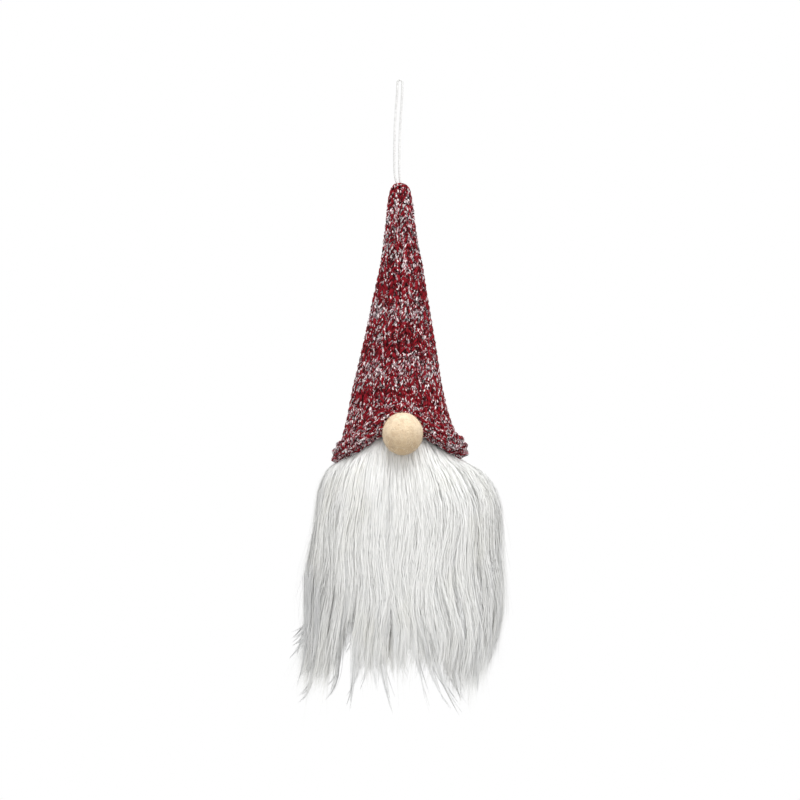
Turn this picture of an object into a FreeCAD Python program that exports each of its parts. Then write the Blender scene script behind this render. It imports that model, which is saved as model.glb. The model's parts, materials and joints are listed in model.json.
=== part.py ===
"""A hanging tomte gnome: a stuffed knitted cone hat over a round fur pouch whose long pile is the beard, a felt ball
nose in the arch of the hat's brim, and a doubled cord loop that is knotted inside the hat's tip.

Millimetres, +Z up, the gnome faces -Y. The origin is the hanging point: the place under the top of the loop where the
hook that holds it lies. Every height is a distance below that point, so the heights are negative.
"""

import FreeCAD, Part
import math
import os

from FreeCAD import Vector

# Hanging cord
cord_diameter = 1.2
hook_wire_diameter = 1.2      # the loop is bent over a thin wire hook
loop_drop = 51.5              # hanging point to the top of the hat
strand_gap_at_tip = 0.1       # between the two strands where they enter the hat
knot_radius = 2.9
knot_depth = 4.6              # middle of the knot, below the top of the hat
tail_length = 9.0             # cord ends that hang below the knot
tail_splay = 0.5              # how far each tail's lower end stands out

# Knitted hat
hat_height = 137.0            # top to the lowest part of the brim
knit_wall = 2.6
crown_radius = 6.0            # where the rounded tip passes into the cone
crown_depth = 8.0
dome_radius = 4.2             # a point on the rounded tip
dome_depth = 2.2
waist_radius = 13.4           # halfway down the cone, which is a little hollow
waist_depth = 58.0
temple_radius = 25.3          # where the cone begins to flare
temple_above_brim = 21.0
flare_radius = 27.8
flare_above_brim = 12.0
brim_radius = 32.0
arch_rise = 18.0              # the brim lifts this much over the nose
arch_half_width = 30.0
hem_height = 5.5              # rolled edge of the brim
hem_proud = 1.6
seam_fin_depth = 2.5          # seam allowance inside the back of the hat
seam_fin_thickness = 2.4
seam_top_depth = 24.0
stitch_count = 18
thread_diameter = 0.5

# Tip of the hat: the last loops are drawn together round the cord
draw_thread_diameter = 0.4
tip_clearance = 0.25          # around the knot, and again around the draw thread
mouth_radius = 3.0            # of the opening in the tip, at its top
neck_radius = 2.45            # of the opening just above the knot, which cannot pull through it

# Head: a fur pouch gathered round a ball of filling
backing_thickness = 1.2
pouch_gap = 0.5               # between the pouch and the inside of the hat
pouch_neck_radius = 3.0
pouch_neck_height = 3.0
pouch_shoulder_radius = 14.0
pouch_shoulder_drop = 2.5     # from the foot of the neck
pouch_above_brim = 28.0       # foot of the neck, above the lowest part of the brim
pouch_below_brim = 36.0
pouch_widest_radius = 29.0
pouch_widest_below_brim = 4.0
gather_thread_diameter = 0.8
stuffing_clearance = 0.1

# Beard: the outer shape of the hanging pile, as (below the brim, half width, half depth)
pile_levels = [
    (-17.0, 27.5, 27.5),
    (-8.0, 30.5, 30.2),
    (0.0, 33.5, 32.0),
    (10.0, 39.5, 34.5),
    (24.0, 45.5, 37.0),
    (50.0, 48.5, 38.5),
    (84.0, 50.0, 38.0),
    (104.0, 46.0, 34.0),
    (117.0, 34.0, 25.0),
    (123.5, 16.0, 12.0),
]
pile_clearance = 0.3

# Nose
nose_radius = 10.0
nose_half_height = 11.0
nose_above_brim = 12.0
nose_beside_middle = 1.3
nose_clearance = 0.3          # between the nose and the brim above it
nose_cover_thickness = 0.8
nose_stitch_depth = 2.0       # how far the nose's thread goes into the head's filling
nose_thread_knot_radius = 1.0
glue_radius = 4.2

# Hot glue between the hat and the pouch
glue_dab_count = 8
glue_dab_height = 4.0
glue_dab_angle = 16.0
glue_dab_above_brim = 20.0
glue_skin = 0.05              # left free on each side of a dab

hair = 0.05                   # clearance of pieces that touch inside one body
far = 200.0                   # longer than anything here

axis = Vector(0, 0, 1)
cord_radius = cord_diameter / 2
tip_top = -loop_drop
brim_low = tip_top - hat_height
knot_centre = Vector(0, 0, tip_top - knot_depth)
strand_x_at_hook = hook_wire_diameter / 2 + cord_radius
strand_x_at_tip = cord_radius + strand_gap_at_tip / 2
draw_ring_radius = knot_radius + tip_clearance + draw_thread_diameter / 2
tip_cavity_radius = draw_ring_radius + draw_thread_diameter / 2 + tip_clearance
pouch_top = brim_low + pouch_above_brim


def at(r, z):
    return Vector(r, 0, z)


def line(a, b):
    return Part.LineSegment(a, b).toShape()


def arc(a, b, c):
    return Part.Arc(a, b, c).toShape()


def turned(edges):
    """The solid that a closed outline beside the axis makes when it is turned round it."""
    return Part.Face(Part.Wire(edges)).revolve(Vector(0, 0, 0), axis, 360)


def hat_side(inset):
    """The hat's side as two arcs, from the foot of the rounded tip to the brim, moved in by inset."""
    crown = at(crown_radius - inset, tip_top - crown_depth)
    waist = at(waist_radius - inset, tip_top - waist_depth)
    temple = at(temple_radius - inset, brim_low + temple_above_brim)
    flare = at(flare_radius - inset, brim_low + flare_above_brim)
    brim = at(brim_radius - inset, brim_low)
    return arc(crown, waist, temple), arc(temple, flare, brim)


def reach(body, start, way):
    """How far a line from start stays inside the body."""
    inside = body.common(line(start, start + way * far))
    return inside.Length


def hat_body(inset):
    """The hat as a full solid, moved in by inset, with its tip rounded or, where it is moved in far, flat."""
    sides = hat_side(inset)
    crown = at(crown_radius - inset, tip_top - crown_depth)
    foot = at(0, brim_low)
    if inset > 0:
        top = at(0, crown.z)
        roof = [line(top, crown)]
    else:
        top = at(0, tip_top - inset)
        roof = [arc(top, at(dome_radius - inset, tip_top - dome_depth - inset / 2), crown)]
    return turned([*roof, *sides, line(at(brim_radius - inset, brim_low), foot), line(foot, top)])


def above_brim_edge(lift):
    """Everything above the brim's edge raised by lift. The edge is level at the back and a bell-shaped arch in front."""
    low = brim_low + lift
    steps = 8
    edge_points = [
        Vector(x, 0, low + arch_rise * math.cos(math.pi * x / (2 * arch_half_width)) ** 2)
        for x in (arch_half_width * (2 * i / steps - 1) for i in range(steps + 1))
    ]
    arch = Part.BSplineCurve()
    arch.interpolate(edge_points)
    left, right = Vector(-far, 0, low), Vector(far, 0, low)
    left_top, right_top = Vector(-far, 0, far), Vector(far, 0, far)
    outline = Part.Wire(
        [
            line(left, edge_points[0]),
            arch.toShape(),
            line(edge_points[-1], right),
            line(right, right_top),
            line(right_top, left_top),
            line(left_top, left),
        ]
    )
    front = Part.Face(outline).extrude(Vector(0, -far, 0))
    back = Part.makeBox(2 * far, far, far - low, Vector(-far, 0, low))
    return front.fuse(back)


def tip_opening():
    """The room in the hat's tip for the knot, the draw thread and the swinging strands."""
    cavity = Part.makeSphere(tip_cavity_radius, knot_centre)
    neck_height = knot_radius + 0.2
    mouth = Part.makeCone(
        neck_radius,
        mouth_radius,
        knot_depth - neck_height + 1.0,
        knot_centre + Vector(0, 0, neck_height),
    )
    throat = Part.makeCylinder(neck_radius, neck_height, knot_centre)
    tail_room = Part.makeCylinder(
        neck_radius, crown_depth, knot_centre - Vector(0, 0, crown_depth)
    )
    return cavity.fuse([mouth, throat, tail_room])


def seam_fin():
    """The seam allowance: a fin along the inside of the hat's back, from near the tip down to the pouch."""
    slab = Part.makeBox(
        seam_fin_thickness,
        far,
        tip_top - seam_top_depth - (pouch_top + pouch_neck_height),
        Vector(-seam_fin_thickness / 2, 0, pouch_top + pouch_neck_height),
    )
    return hat_body(knit_wall).cut(hat_body(knit_wall + seam_fin_depth)).common(slab)


def seam_stitches(radius):
    """The seam's stitches: short bars across the fin, evenly spaced down its length."""
    top = tip_top - seam_top_depth - 2.0
    bottom = pouch_top + pouch_neck_height + 2.0
    long = seam_fin_thickness + 1.2
    hollow = hat_body(knit_wall)
    bars = []
    for i in range(stitch_count):
        z = top + (bottom - top) * i / (stitch_count - 1)
        y = reach(hollow, at(0, z), Vector(0, 1, 0)) - seam_fin_depth * 0.5
        bars.append(Part.makeCylinder(radius, long, Vector(-long / 2, y, z), Vector(1, 0, 0)))
    return Part.makeCompound(bars)


def make_knit_hat():
    wall = hat_body(0).cut(hat_body(knit_wall)).common(above_brim_edge(0))
    roll = hat_body(-hem_proud).cut(hat_body(knit_wall)).common(above_brim_edge(0))
    roll = roll.cut(above_brim_edge(hem_height))
    hat = wall.fuse([roll, seam_fin()]).removeSplitter()
    return hat.cut([tip_opening(), seam_stitches(thread_diameter / 2 + hair)])


def make_hanging_loop():
    """The cord outside the hat: up one strand, over the hook and down the other, ending on the knot."""
    top = cord_radius
    bend_z = top - strand_x_at_hook
    foot_z = knot_centre.z + knot_radius + hair
    left_foot, right_foot = Vector(-strand_x_at_tip, 0, foot_z), Vector(strand_x_at_tip, 0, foot_z)
    lean = math.atan2(strand_x_at_hook - strand_x_at_tip, bend_z - foot_z)
    left_bend = Vector(-strand_x_at_hook * math.cos(lean), 0, bend_z + strand_x_at_hook * math.sin(lean))
    right_bend = Vector(-left_bend.x, 0, left_bend.z)
    path = Part.Wire(
        [
            line(left_foot, left_bend),
            arc(left_bend, Vector(0, 0, top), right_bend),
            line(right_bend, right_foot),
        ]
    )
    section = Part.Wire(Part.makeCircle(cord_radius, left_foot, left_bend - left_foot))
    tube = path.makePipeShell([section], True, True)
    print("loop: length", round(path.Length, 2), "bend radius", strand_x_at_hook,
          "volume over section times length", round(tube.Volume / (math.pi * cord_radius**2 * path.Length), 4))
    return tube


def make_cord_knot():
    flat = Part.makeBox(far, far, far, Vector(-far / 2, -far / 2, knot_centre.z + knot_radius - hair))
    return Part.makeSphere(knot_radius, knot_centre).cut(flat)


def make_cord_tails():
    tails = []
    for side in (-1, 1):
        top = knot_centre + Vector(side * strand_x_at_tip, 0, -tip_cavity_radius)
        way = Vector(side * tail_splay, 0, -tail_length)
        tails.append(Part.makeCylinder(cord_radius, way.Length, top, way))
    return Part.makeCompound(tails)


def make_tip_draw_thread():
    return Part.makeTorus(draw_ring_radius, draw_thread_diameter / 2, knot_centre)


def pouch_body(inset):
    """The pouch as a full solid moved in by inset: a neck, a shoulder that follows the hat, and a round bag."""
    shoulder_z = pouch_top - pouch_shoulder_drop
    under_hat = brim_low + temple_above_brim
    neck = at(pouch_neck_radius - inset, pouch_top)
    outline = Part.BSplineCurve()
    outline.interpolate(
        [
            neck,
            at(pouch_shoulder_radius - inset, shoulder_z - inset),
            at(temple_radius - knit_wall - pouch_gap - inset, under_hat),
            at(flare_radius - knit_wall - pouch_gap - inset, brim_low + flare_above_brim),
            at(pouch_widest_radius - inset, brim_low - pouch_widest_below_brim),
            at(pouch_widest_radius * 0.82 - inset, brim_low - pouch_below_brim * 0.66),
            at(pouch_widest_radius * 0.45 - inset, brim_low - pouch_below_brim * 0.92 + inset),
            at(0, brim_low - pouch_below_brim + inset),
        ]
    )
    top, foot = at(0, pouch_top), at(0, brim_low - pouch_below_brim + inset)
    bag = turned([line(top, neck), outline.toShape(), line(foot, top)])
    spout = Part.makeCylinder(pouch_neck_radius - inset, pouch_neck_height, top)
    return bag.fuse(spout)


def pouch_front():
    """The y of the pouch's front, behind the nose."""
    start = Vector(nose_beside_middle, 0, brim_low + nose_above_brim)
    return -reach(pouch_body(0), start, Vector(0, -1, 0))


def nose_centre():
    """The nose's middle: as far back as the rolled edge at the top of the arch lets it go."""
    z = brim_low + nose_above_brim
    hem_front = reach(hat_body(-hem_proud), at(0, brim_low + arch_rise), Vector(0, -1, 0))
    back_there = nose_radius * math.sqrt(max(0, 1 - ((arch_rise - nose_above_brim) / nose_half_height) ** 2))
    return Vector(nose_beside_middle, -hem_front - nose_clearance - back_there, z)


def nose_body(centre, inset):
    """A ball stretched upwards to nose_half_height, moved in by inset."""
    ball = Part.makeSphere(nose_radius - inset)
    stretch = FreeCAD.Matrix()
    stretch.scale(1, 1, (nose_half_height - inset) / (nose_radius - inset))
    egg = ball.transformGeometry(stretch)
    egg.translate(centre)
    return egg


def nose_thread(centre, radius, behind_middle):
    """The thread that sews the nose on, from that far behind the nose's middle to its knot in the head's filling."""
    start = centre + Vector(0, behind_middle, 0)
    return Part.makeCylinder(radius, nose_thread_end(centre).y - start.y, start, Vector(0, 1, 0))


def nose_thread_end(centre):
    return Vector(centre.x, pouch_front() + backing_thickness + nose_stitch_depth, centre.z)


def nose_glue_room(centre, wider):
    """The short round column behind the nose that the glue fills, from the nose's middle to the pouch's front."""
    depth = pouch_front() + glue_radius - centre.y
    return Part.makeCylinder(glue_radius + wider, depth, centre, Vector(0, 1, 0)).cut(pouch_body(0))


def make_nose_pieces():
    """The nose's cover, core, sewing thread and glue, and the room that they need in the pouch."""
    centre = nose_centre()
    thread_radius = thread_diameter / 2
    hole = nose_thread(centre, thread_radius + hair, 0)
    cover = nose_body(centre, 0).cut(nose_body(centre, nose_cover_thickness).fuse(hole))
    core = nose_body(centre, nose_cover_thickness + stuffing_clearance)
    end = nose_thread_end(centre)
    thread = nose_thread(centre, thread_radius, nose_radius - nose_cover_thickness)
    thread = thread.fuse(Part.makeSphere(nose_thread_knot_radius, end))
    dab = nose_glue_room(centre, 0).cut([nose_body(centre, -hair), pouch_body(-hair), hole])
    room = Part.makeSphere(nose_thread_knot_radius + stuffing_clearance, end).fuse(hole)
    return cover, core, thread, dab, room


def make_brim_glue_dabs():
    """Dabs of hot glue in the gap between the hat and the pouch, evenly spaced round the temple."""
    top = brim_low + glue_dab_above_brim + glue_dab_height / 2
    slab = Part.makeBox(2 * far, 2 * far, glue_dab_height, Vector(-far, -far, top - glue_dab_height))
    ring = hat_body(knit_wall + glue_skin).cut(pouch_body(-glue_skin)).common(slab)
    dabs = []
    for i in range(glue_dab_count):
        wedge = Part.makeCylinder(brim_radius, glue_dab_height, Vector(0, 0, top - glue_dab_height), axis, glue_dab_angle)
        wedge.rotate(Vector(0, 0, 0), axis, 360 * (i + 0.5) / glue_dab_count - glue_dab_angle / 2)
        dabs.append(ring.common(wedge))
    return Part.makeCompound([solid for dab in dabs for solid in dab.Solids])


def make_hat_filling():
    """Fibre from under the knot's tails down to the pouch, with a slot for the seam allowance."""
    fibre = hat_body(knit_wall + stuffing_clearance)
    seam_slot = Part.makeBox(
        seam_fin_thickness + 1.6, far, hat_height, Vector(-seam_fin_thickness / 2 - 0.8, 0, brim_low)
    ).cut(hat_body(knit_wall + seam_fin_depth + stuffing_clearance))
    tail_room = Part.makeCylinder(neck_radius, far, Vector(0, 0, knot_centre.z - tip_cavity_radius - tail_length - 1))
    neck_room = Part.makeCylinder(
        pouch_neck_radius + gather_thread_diameter + stuffing_clearance,
        pouch_neck_height + stuffing_clearance,
        at(0, pouch_top),
    )
    fibre = fibre.cut([pouch_body(-stuffing_clearance), neck_room, seam_slot, tail_room])
    above_pouch = Part.makeBox(
        2 * far, 2 * far, far, Vector(-far, -far, brim_low + glue_dab_above_brim + glue_dab_height)
    )
    fibre = fibre.common(above_pouch)
    return max(fibre.Solids, key=lambda solid: solid.Volume)


def make_gather_thread():
    ring = pouch_neck_radius + gather_thread_diameter / 2 + hair
    return Part.makeTorus(ring, gather_thread_diameter / 2, at(0, pouch_top + pouch_neck_height / 2))


def make_fur_backing(nose_room):
    return pouch_body(0).cut(pouch_body(backing_thickness)).cut(nose_room)


def make_head_filling(nose_room):
    return pouch_body(backing_thickness + stuffing_clearance).cut(nose_room)


def make_beard_pile():
    """The outer shape of the hanging pile: lofted ovals, under the brim's edge and outside the pouch and the nose."""
    ovals = []
    for below, wide, deep in pile_levels:
        oval = Part.Ellipse(Vector(wide, 0, 0), Vector(0, deep, 0), Vector(0, 0, 0)).toShape()
        oval.translate(Vector(0, 0, brim_low - below))
        ovals.append(Part.Wire(oval))
    pile = Part.makeLoft(ovals, True, False)
    nose = nose_centre()
    pile = pile.cut([pouch_body(-hair), above_brim_edge(-pile_clearance)])
    pile = pile.cut([nose_body(nose, -pile_clearance), nose_glue_room(nose, hair)])
    return max(pile.Solids, key=lambda solid: solid.Volume)


nose_cover, nose_core, nose_sewing, nose_dab, nose_room = make_nose_pieces()

parts = {
    "hanging_loop": make_hanging_loop(),
    "cord_knot": make_cord_knot(),
    "cord_tails": make_cord_tails(),
    "tip_draw_thread": make_tip_draw_thread(),
    "knit_hat": make_knit_hat(),
    "hat_seam_stitches": seam_stitches(thread_diameter / 2),
    "hat_filling": make_hat_filling(),
    "fur_backing": make_fur_backing(nose_room),
    "beard_pile": make_beard_pile(),
    "head_filling": make_head_filling(nose_room),
    "pouch_gather_thread": make_gather_thread(),
    "brim_glue_dabs": make_brim_glue_dabs(),
    "nose_cover": nose_cover,
    "nose_core": nose_core,
    "nose_thread": nose_sewing,
    "nose_glue": nose_dab,
}

os.makedirs("parts", exist_ok=True)
for name, shape in parts.items():
    if not shape.isValid() or not shape.Solids:
        raise RuntimeError(f"{name} is not a valid solid")
    shape.exportStep(f"parts/{name}.step")
    size = shape.optimalBoundingBox(False)
    print(f"{name}: {len(shape.Solids)} solids, {shape.Volume / 1000:.3f} cm3, z {size.ZMin:.1f} to {size.ZMax:.1f}")
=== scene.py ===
"""A tomte gnome that hangs by a white cord loop: marled knitted hat, fleece nose, long faux fur beard."""
import json
import math
import bpy
import bmesh
import numpy
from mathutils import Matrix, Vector


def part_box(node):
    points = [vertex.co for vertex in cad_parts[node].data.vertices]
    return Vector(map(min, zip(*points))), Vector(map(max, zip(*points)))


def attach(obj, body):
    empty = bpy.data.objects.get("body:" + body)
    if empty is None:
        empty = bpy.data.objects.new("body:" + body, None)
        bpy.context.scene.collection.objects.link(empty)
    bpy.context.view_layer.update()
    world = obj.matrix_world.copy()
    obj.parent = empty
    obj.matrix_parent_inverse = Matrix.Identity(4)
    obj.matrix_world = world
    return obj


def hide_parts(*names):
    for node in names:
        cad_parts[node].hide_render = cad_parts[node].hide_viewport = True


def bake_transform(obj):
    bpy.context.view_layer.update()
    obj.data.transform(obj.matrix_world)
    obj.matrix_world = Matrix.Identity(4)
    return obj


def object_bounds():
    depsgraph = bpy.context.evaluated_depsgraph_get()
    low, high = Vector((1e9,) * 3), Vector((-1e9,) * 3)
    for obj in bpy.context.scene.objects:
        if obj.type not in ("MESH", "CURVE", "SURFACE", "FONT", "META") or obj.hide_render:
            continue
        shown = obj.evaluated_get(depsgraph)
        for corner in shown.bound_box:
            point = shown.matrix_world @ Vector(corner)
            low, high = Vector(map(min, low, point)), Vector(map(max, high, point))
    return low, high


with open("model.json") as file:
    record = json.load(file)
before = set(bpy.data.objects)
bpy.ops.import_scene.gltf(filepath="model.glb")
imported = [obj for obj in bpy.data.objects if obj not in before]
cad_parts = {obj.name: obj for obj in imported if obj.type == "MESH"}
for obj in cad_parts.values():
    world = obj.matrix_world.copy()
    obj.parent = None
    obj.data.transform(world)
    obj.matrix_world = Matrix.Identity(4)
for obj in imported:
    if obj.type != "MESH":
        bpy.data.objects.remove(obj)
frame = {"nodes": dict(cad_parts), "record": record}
cad_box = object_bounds()
millimetre = 0.001


# Studio. A gnome that hangs in the air in front of nothing, with a pale floor well below it.
# The light is a white room with one large soft lamp high in front and a little to the right.
view_height = 400 * millimetre
camera_distance = 1.6
camera_level = -159.5 * millimetre
camera = bpy.data.objects.new("camera", bpy.data.cameras.new("camera"))
camera.location = (0, -camera_distance, camera_level)
camera.rotation_euler = (math.radians(90), 0, 0)
camera.data.lens = camera.data.sensor_width * camera_distance / view_height
bpy.context.collection.objects.link(camera)
bpy.context.scene.camera = camera
bpy.context.scene.view_settings.view_transform = "Standard"

world = bpy.data.worlds.new("white_room")
world.use_nodes = True
world.node_tree.nodes["Background"].inputs["Color"].default_value = (1, 1, 1, 1)
world.node_tree.nodes["Background"].inputs["Strength"].default_value = 1.0
bpy.context.scene.world = world

lamp = bpy.data.objects.new("high_front_lamp", bpy.data.lights.new("high_front_lamp", "AREA"))
lamp.data.size = 0.8
lamp.data.energy = 10
lamp.location = (0.15, -0.55, 0.95)
lamp_way = Vector((0, 0, camera_level)) - lamp.location
lamp.rotation_euler = lamp_way.to_track_quat("-Z", "Y").to_euler()
bpy.context.collection.objects.link(lamp)

floor_below = 0.8
floor_radius = 6
floor_shape = bmesh.new()
bmesh.ops.create_circle(floor_shape, cap_ends=True, segments=96, radius=floor_radius)
bmesh.ops.translate(floor_shape, verts=floor_shape.verts, vec=(0, 0, cad_box[0].z - floor_below))
floor_mesh = bpy.data.meshes.new("floor")
floor_shape.to_mesh(floor_mesh)
floor_paint = bpy.data.materials.new("pale_floor")
floor_paint.use_nodes = True
floor_paint.node_tree.nodes["Principled BSDF"].inputs["Base Color"].default_value = (0.68, 0.68, 0.68, 1)
floor_paint.node_tree.nodes["Principled BSDF"].inputs["Roughness"].default_value = 0.9
floor_mesh.materials.append(floor_paint)
floor_disc = bpy.data.objects.new("floor", floor_mesh)
bpy.context.collection.objects.link(floor_disc)


# Hanging cord. A thin white three-strand twine, doubled over the hook and knotted inside the hat's tip.
# Both runs hang side by side under the gnome's weight and go down into the hat beside its topmost loops.
class Tint:
    """A value in a material's nodes, with arithmetic: each operator adds a Math node to the same material."""

    def __init__(self, nodes, links, socket):
        self.nodes = nodes
        self.links = links
        self.socket = socket

    def node(self, kind, settings, values, output=0):
        """A new node of that kind. Its settings are set first, then its sockets get their values or links."""
        made = self.nodes.new(kind)
        for name, setting in settings.items():
            if name == "stops":
                for place, colour in setting:
                    stop = made.color_ramp.elements.new(place)
                    stop.color = colour
                made.color_ramp.elements.remove(made.color_ramp.elements[0])
                made.color_ramp.elements.remove(made.color_ramp.elements[-1])
            else:
                setattr(made, name, setting)
        for key, value in values.items():
            if isinstance(value, Tint):
                self.links.new(value.socket, made.inputs[key])
            else:
                made.inputs[key].default_value = value
        return Tint(self.nodes, self.links, made.outputs[output])

    def maths(self, operation, *values):
        return self.node("ShaderNodeMath", {"operation": operation}, dict(enumerate(values)))

    def __add__(self, other):
        return self.maths("ADD", self, other)

    def __sub__(self, other):
        return self.maths("SUBTRACT", self, other)

    def __rsub__(self, other):
        return self.maths("SUBTRACT", other, self)

    def __mul__(self, other):
        return self.maths("MULTIPLY", self, other)

    def __truediv__(self, other):
        return self.maths("DIVIDE", self, other)

    __radd__ = __add__
    __rmul__ = __mul__

    def between(self, low, high):
        """0 where this is under low, 1 where it is over high, and a smooth step between them."""
        values = {"Value": self, "From Min": low, "From Max": high}
        return self.node("ShaderNodeMapRange", {"interpolation_type": "SMOOTHSTEP"}, values)

    def noise(self, size, detail=2.0, roughness=0.5):
        """A cloudy pattern about 0.5 whose clouds are about that many metres across."""
        values = {"Vector": self, "Scale": 1 / size, "Detail": detail, "Roughness": roughness}
        return self.node("ShaderNodeTexNoise", {}, values)

    def blend(self, first, second):
        """first where this is 0 and second where it is 1; both are colours."""
        values = {"Factor": self, 6: first, 7: second}
        return self.node("ShaderNodeMix", {"data_type": "RGBA"}, values, output=2)

    def stretched(self, x, y, z):
        """These coordinates with a pattern drawn out along each axis by that much."""
        values = {"Vector": self, "Scale": (1 / x, 1 / y, 1 / z)}
        return self.node("ShaderNodeMapping", {"vector_type": "POINT"}, values)


def new_finish(name, roughness, sheen=0.0, sheen_roughness=0.5, specular=0.5):
    """A material, the coordinates its patterns are placed by, and its surface shader."""
    finish = bpy.data.materials.new(name)
    finish.use_nodes = True
    tree = finish.node_tree
    surface = tree.nodes["Principled BSDF"]
    surface.inputs["Roughness"].default_value = roughness
    surface.inputs["Sheen Weight"].default_value = sheen
    surface.inputs["Sheen Roughness"].default_value = sheen_roughness
    surface.inputs["Specular IOR Level"].default_value = specular
    place = Tint(tree.nodes, tree.links, tree.nodes.new("ShaderNodeTexCoord").outputs["Object"])
    return finish, place, surface


def feed(surface, socket, value):
    value.links.new(value.socket, surface.inputs[socket])


def add_bump(surface, height, depth, strength=1.0):
    """Feeds the surface's normal from a height between 0 and 1 that stands for depth metres."""
    bump = height.node("ShaderNodeBump", {}, {"Height": height, "Strength": strength, "Distance": depth})
    feed(surface, "Normal", bump)


def new_piece(name, mesh, finish, body, slot, *nodes):
    """Links a finished mesh as a piece that rides on a body and stands for those CAD nodes."""
    mesh.materials.clear()
    mesh.materials.append(finish)
    mesh.shade_smooth()
    piece = bpy.data.objects.new(name, mesh)
    bpy.context.collection.objects.link(piece)
    if nodes:
        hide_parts(*nodes)
    if body:
        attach(piece, body)
    return piece


def lengths_along(path):
    """How far along the path each of its points is."""
    steps = numpy.linalg.norm(numpy.diff(path, axis=0), axis=1)
    return numpy.concatenate(([0], numpy.cumsum(steps)))


def unit(ways):
    """The same directions, each one long."""
    return ways / numpy.linalg.norm(ways, axis=-1, keepdims=True)


def tubes(name, lines, radius, sides=6, closed=False):
    """One mesh of round tubes, a tube along each line of points. Its attribute along holds how far along its
    line a place is, in metres, and then a number of centimetres that tells the lines apart."""
    curve = bpy.data.curves.new(name, "CURVE")
    curve.dimensions = "3D"
    curve.bevel_depth = radius
    curve.bevel_resolution = max(0, sides // 2 - 2)
    curve.use_fill_caps = True
    for points in lines:
        spline = curve.splines.new("POLY")
        spline.points.add(len(points) - 1)
        padded = numpy.ones((len(points), 4))
        padded[:, :3] = points
        spline.points.foreach_set("co", padded.ravel())
        spline.use_cyclic_u = closed
    holder = bpy.data.objects.new(name, curve)
    mesh = bpy.data.meshes.new_from_object(holder)
    bpy.data.objects.remove(holder)
    bpy.data.curves.remove(curve)
    capped = 0 if closed else 2
    around = len(mesh.vertices) // sum(len(points) + capped for points in lines)
    caps = []
    walls = []
    for number, points in enumerate(lines):
        along = lengths_along(points)
        places = numpy.stack((along, numpy.full_like(along, 0.01 * number), 0 * along), axis=1)
        walls.append(places)
        if capped:
            caps = [places[-1:], places[:1]] + caps
    places = numpy.repeat(numpy.concatenate(caps + walls), around, axis=0)
    mesh.attributes.new("along", "FLOAT_VECTOR", "POINT").data.foreach_set("vector", places.ravel())
    return mesh


def smooth_route(points, steps):
    """Points along the NURBS curve whose control points are given, in metres."""
    curve = bpy.data.curves.new("route", "CURVE")
    curve.dimensions = "3D"
    spline = curve.splines.new("NURBS")
    spline.points.add(len(points) - 1)
    for point, place in zip(spline.points, points):
        point.co = (*place, 1)
    spline.order_u = 3
    spline.use_endpoint_u = True
    spline.resolution_u = steps
    holder = bpy.data.objects.new("route", curve)
    line = bpy.data.meshes.new_from_object(holder)
    places = numpy.array([vertex.co for vertex in line.vertices])
    bpy.data.objects.remove(holder)
    bpy.data.curves.remove(curve)
    bpy.data.meshes.remove(line)
    return places


def evenly(path, spacing):
    """The same path with its points that far apart."""
    along = lengths_along(path)
    places = numpy.linspace(0, along[-1], max(3, round(along[-1] / spacing) + 1))
    return numpy.stack([numpy.interp(places, along, path[:, axis]) for axis in range(3)], axis=1)


def twisted(path, strand_count, reach, pitch, outward=(0.02, 1.0, 0.01), first_turn=0.0):
    """Lines of strands that wind round a path, each reach away from it, once in every pitch."""
    ahead = unit(numpy.gradient(path, axis=0))
    across = unit(outward - (ahead * outward).sum(axis=1)[:, None] * ahead)
    beside = numpy.cross(ahead, across)
    along = lengths_along(path)
    lines = []
    for strand in range(strand_count):
        turn = (2 * math.pi * (along / pitch + strand / strand_count) + first_turn)[:, None]
        lines.append(path + reach * (numpy.cos(turn) * across + numpy.sin(turn) * beside))
    return lines


twine_diameter = 1.2 * millimetre
twine_strand = 0.34 * millimetre
twine_reach = 0.31 * millimetre
twine_pitch = 3.4 * millimetre
twine_spacing = 0.32 * millimetre
loop_route = [
    (-0.65, 0.0, -53.25),
    (-1.9, -0.2, -50.6),
    (-2.8, -0.3, -46.0),
    (-2.9, -0.2, -38.0),
    (-2.7, -0.2, -26.0),
    (-2.0, 0.15, -13.0),
    (-1.35, 0.0, -6.0),
    (-1.2, 0.0, -1.8),
    (-1.2, 0.0, 0.6),
    (1.2, 0.0, 0.6),
    (1.2, 0.0, -1.8),
    (1.1, 0.0, -6.0),
    (0.7, -0.15, -13.0),
    (-0.1, 0.2, -26.0),
    (-0.4, -0.1, -38.0),
    (-0.4, -0.3, -46.0),
    (0.1, -0.2, -50.6),
    (0.65, 0.0, -53.25),
]
loop_route = [tuple(value * millimetre for value in point) for point in loop_route]

twine, place, surface = new_finish("white_twine", roughness=0.6, sheen=0.3)
shade = place.noise(0.8 * millimetre, detail=3)
feed(surface, "Base Color", shade.between(0.3, 0.7).blend((0.66, 0.66, 0.65, 1), (0.86, 0.86, 0.85, 1)))
add_bump(surface, place.noise(0.12 * millimetre), 0.04 * millimetre)

loop_path = smooth_route(loop_route, 24)
loop_lines = twisted(evenly(loop_path, twine_spacing), 3, twine_reach, twine_pitch)
loop_mesh = tubes("hanging_twine", loop_lines, twine_strand, sides=8)
hanging_twine = new_piece("hanging_twine", loop_mesh, twine, None, "cord", "hanging_loop")
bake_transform(hanging_twine)


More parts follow.
